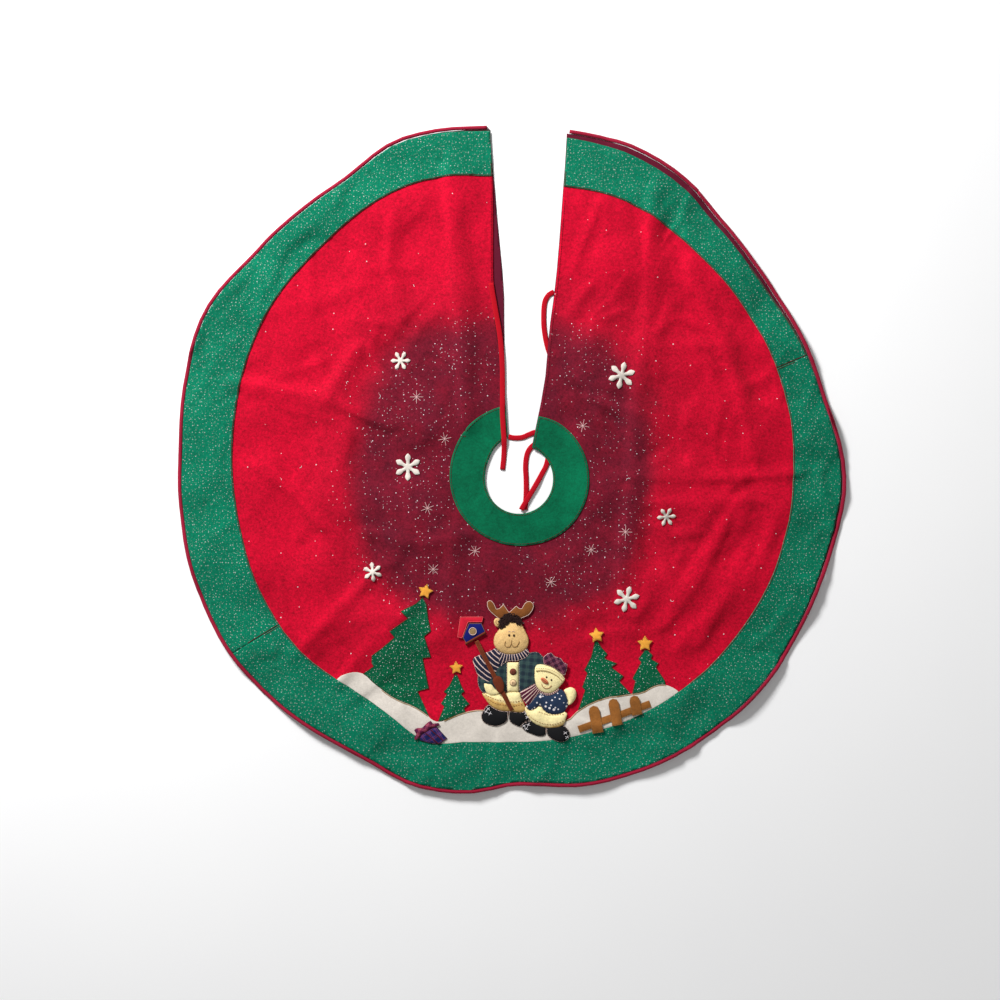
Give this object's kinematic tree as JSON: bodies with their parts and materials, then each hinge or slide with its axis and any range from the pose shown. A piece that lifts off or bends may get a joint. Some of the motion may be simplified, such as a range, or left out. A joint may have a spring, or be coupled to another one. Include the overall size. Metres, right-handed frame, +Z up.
{
  "type": "tree skirt",
  "caption": "Round felt tree skirt with a slit to the trunk hole, glitter border, collar, ties and a padded snow scene; one side of the slit folds back.",
  "frame": {"origin": "on the floor, under the middle of the skirt's outline as it lies flat", "axes": "+Z up from the floor through the cloth, +Y from the trunk hole along the slit, +X to the right of the snow scene as it is looked at from above with the slit at the top"},
  "size_m": [1.2148, 1.2144, 0.0105],
  "materials": {
    "lining": "plain woven cotton",
    "red_felt": "matte short-nap felt, airbrushed darker round the collar",
    "glitter_felt": "felt with printed glitter specks",
    "collar_felt": "matte felt",
    "piping_cotton": "folded cotton binding",
    "tie_cotton": "folded cotton twill",
    "snow_felt": "matte felt",
    "tree_felt": "felt with printed glitter specks",
    "star_felt": "matte felt",
    "gift_plaid": "woven plaid",
    "bow_plaid": "woven plaid",
    "fence_suede": "brushed suede cloth",
    "antler_suede": "brushed suede cloth",
    "hair_yarn": "looped yarn",
    "head_fleece": "soft fleece",
    "scarf_stripe": "striped cotton",
    "coat_plaid": "woven plaid",
    "cream_fleece": "soft fleece",
    "boot_felt": "matte felt",
    "birdhouse_felt": "matte felt",
    "roof_felt": "matte felt",
    "pole_suede": "brushed suede cloth",
    "hat_plaid": "woven plaid",
    "snowman_scarf_stripe": "striped cotton",
    "dotted_knit": "printed cotton"
  },
  "bodies": {
    "root": {"lining": "lining", "red_panel": "red_felt", "border_left": "glitter_felt", "border_lower": "glitter_felt", "border_right": "glitter_felt", "collar": "collar_felt", "piping": "piping_cotton", "tie_slit_left": "tie_cotton", "tie_collar_left": "tie_cotton", "snow_bank": "snow_felt", "snowflake_1": "snow_felt", "snowflake_2": "snow_felt", "snowflake_3": "snow_felt", "snowflake_4": "snow_felt", "snowflake_5": "snow_felt", "snowflake_6": "snow_felt", "tree_tall": "tree_felt", "tree_small": "tree_felt", "tree_inner": "tree_felt", "tree_outer": "tree_felt", "star_tall": "star_felt", "star_small": "star_felt", "star_inner": "star_felt", "star_outer": "star_felt", "gift_box": "gift_plaid", "gift_bow": "bow_plaid", "fence_rail": "fence_suede", "fence_picket_1": "fence_suede", "fence_picket_2": "fence_suede", "fence_picket_3": "fence_suede", "moose_antlers": "antler_suede", "moose_hair": "hair_yarn", "moose_head": "head_fleece", "moose_scarf": "scarf_stripe", "moose_coat_left": "coat_plaid", "moose_coat_right": "coat_plaid", "moose_shirt": "cream_fleece", "moose_hem": "cream_fleece", "moose_arm": "cream_fleece", "snowman_head": "cream_fleece", "snowman_arm": "cream_fleece", "snowman_hem": "cream_fleece", "moose_boot_left": "boot_felt", "moose_boot_right": "boot_felt", "snowman_boot_left": "boot_felt", "snowman_boot_right": "boot_felt", "birdhouse_front": "birdhouse_felt", "birdhouse_roof": "roof_felt", "birdhouse_pole": "pole_suede", "moose_mitten": "pole_suede", "snowman_hat": "hat_plaid", "snowman_scarf": "snowman_scarf_stripe", "snowman_sweater": "dotted_knit"},
    "right_flap": {"lining_flap": "lining", "red_panel_flap": "red_felt", "collar_flap": "collar_felt", "border_right_flap": "glitter_felt", "piping_flap": "piping_cotton", "tie_slit_right": "tie_cotton", "tie_collar_right": "tie_cotton"}
  },
  "joints": [
    {"name": "right_flap_fold", "type": "hinge", "parent": "root", "child": "right_flap", "pos_m": [0.07144, -0.01429, 0.012], "axis": [0.4695, 0.8829, 0], "range_deg": [0, 165]}
  ]
}
